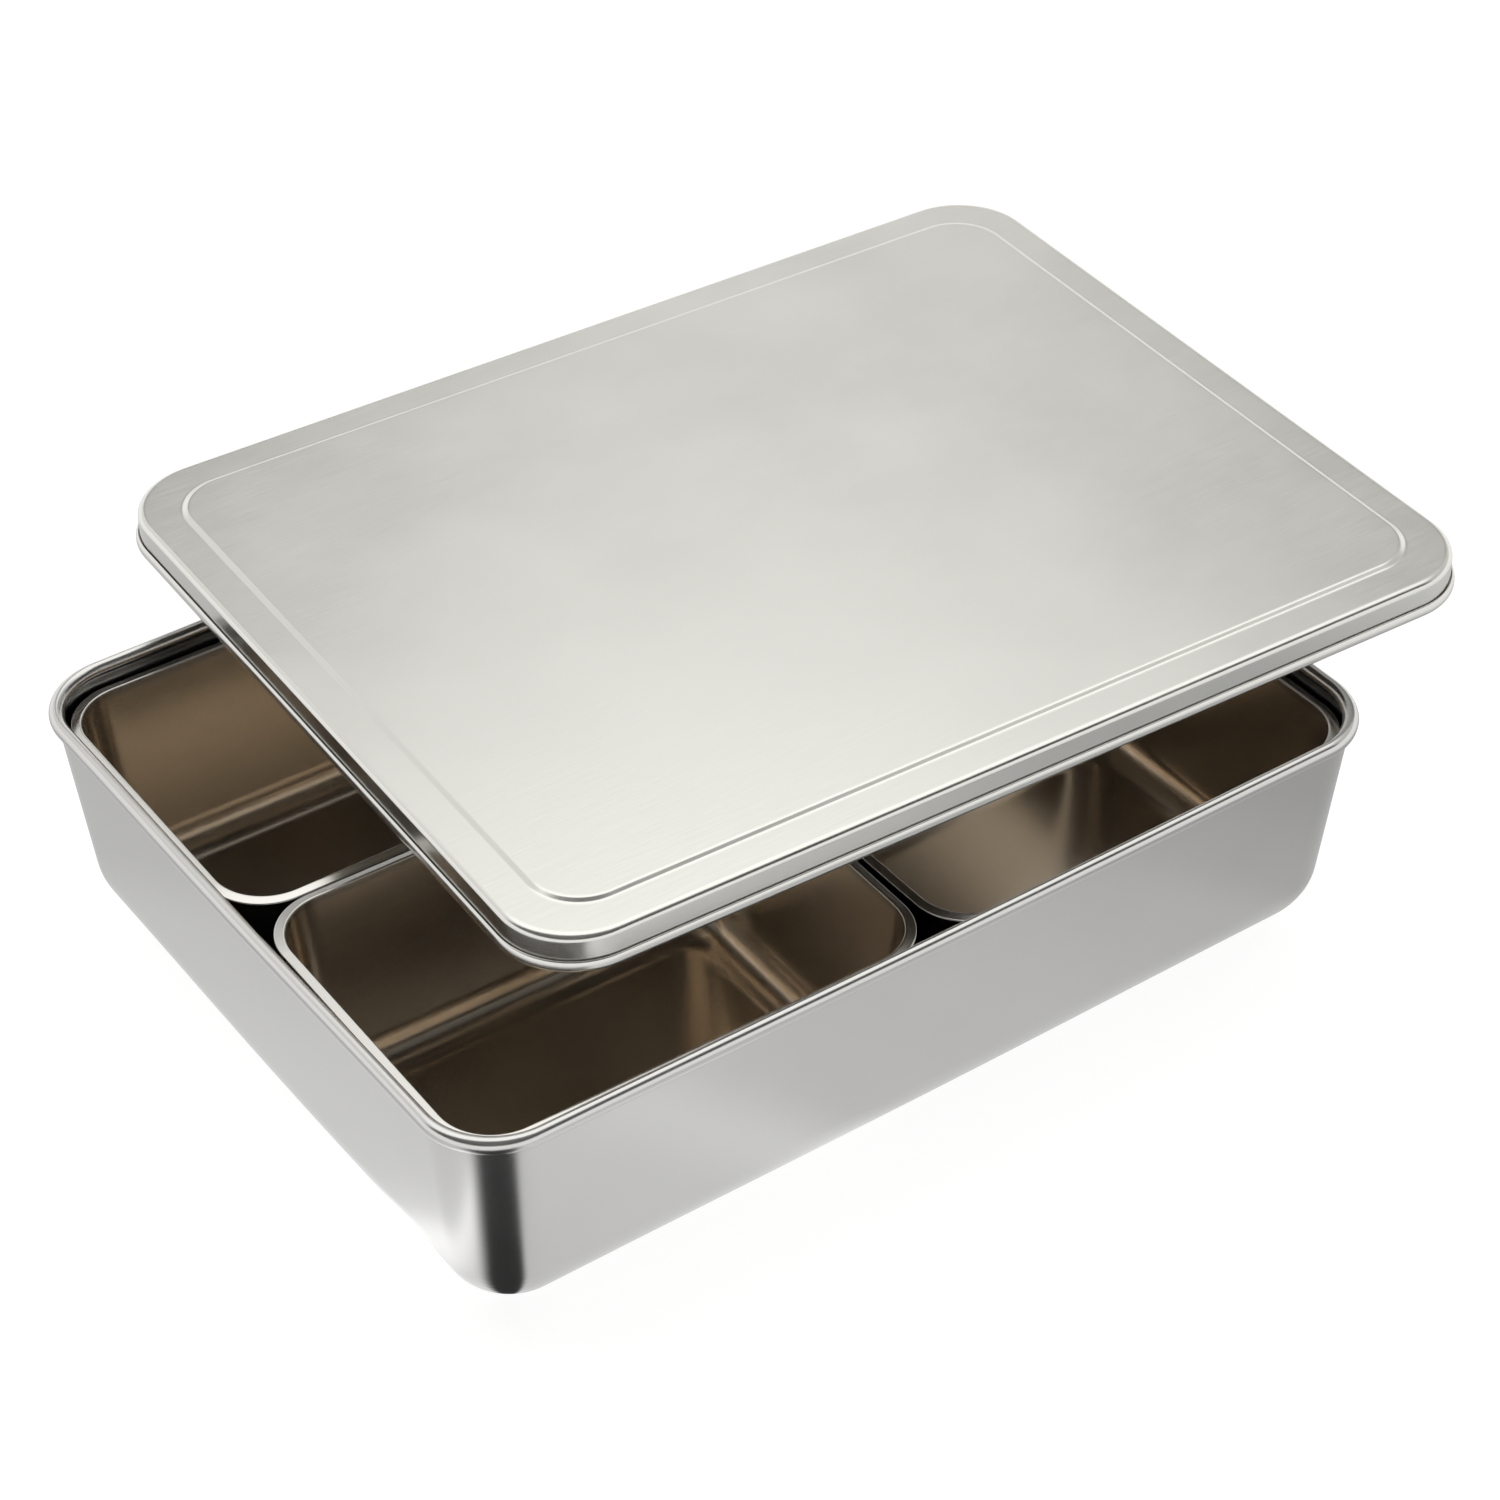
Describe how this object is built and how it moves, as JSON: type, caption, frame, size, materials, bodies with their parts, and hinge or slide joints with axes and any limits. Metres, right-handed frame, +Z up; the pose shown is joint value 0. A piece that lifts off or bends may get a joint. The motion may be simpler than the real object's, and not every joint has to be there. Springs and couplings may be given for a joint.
{
  "type": "lidded condiment box",
  "caption": "Rectangular stainless steel box with a rolled rim, loose inner pans and a loose lid held askew above the rim.",
  "frame": {"origin": "centre of the outer tray's flat foot, on the surface it stands on", "axes": "+Z up, +X along the tray's long side, +Y towards its back"},
  "size_m": [0.3123, 0.2366, 0.091],
  "materials": {
    "tray_steel": "satin",
    "pan_steel": "bright satin",
    "lid_steel": "satin"
  },
  "bodies": {
    "tray": {"outer_tray": "tray_steel"},
    "front_left_pan": {"pan_front_left": "pan_steel"},
    "front_right_pan": {"pan_front_right": "pan_steel"},
    "back_left_pan": {"pan_back_left": "pan_steel"},
    "back_right_pan": {"pan_back_right": "pan_steel"},
    "lid": {"lid": "lid_steel"}
  },
  "joints": [
    {"name": "lid_lift", "type": "slide", "parent": "tray", "child": "lid", "axis": [0, 0, 1], "range_m": [0, 0.18]},
    {"name": "front_left_pan_lift", "type": "slide", "parent": "tray", "child": "front_left_pan", "axis": [0, 0, 1], "range_m": [0, 0.09]},
    {"name": "front_right_pan_lift", "type": "slide", "parent": "tray", "child": "front_right_pan", "axis": [0, 0, 1], "range_m": [0, 0.09]},
    {"name": "back_left_pan_lift", "type": "slide", "parent": "tray", "child": "back_left_pan", "axis": [0, 0, 1], "range_m": [0, 0.09]},
    {"name": "back_right_pan_lift", "type": "slide", "parent": "tray", "child": "back_right_pan", "axis": [0, 0, 1], "range_m": [0, 0.09]}
  ],
  "couplings": [
    {"joint": "front_left_pan_lift", "follows": "lid_lift", "ratio": 0.5},
    {"joint": "front_right_pan_lift", "follows": "lid_lift", "ratio": 0.5},
    {"joint": "back_left_pan_lift", "follows": "lid_lift", "ratio": 0.5},
    {"joint": "back_right_pan_lift", "follows": "lid_lift", "ratio": 0.5}
  ]
}
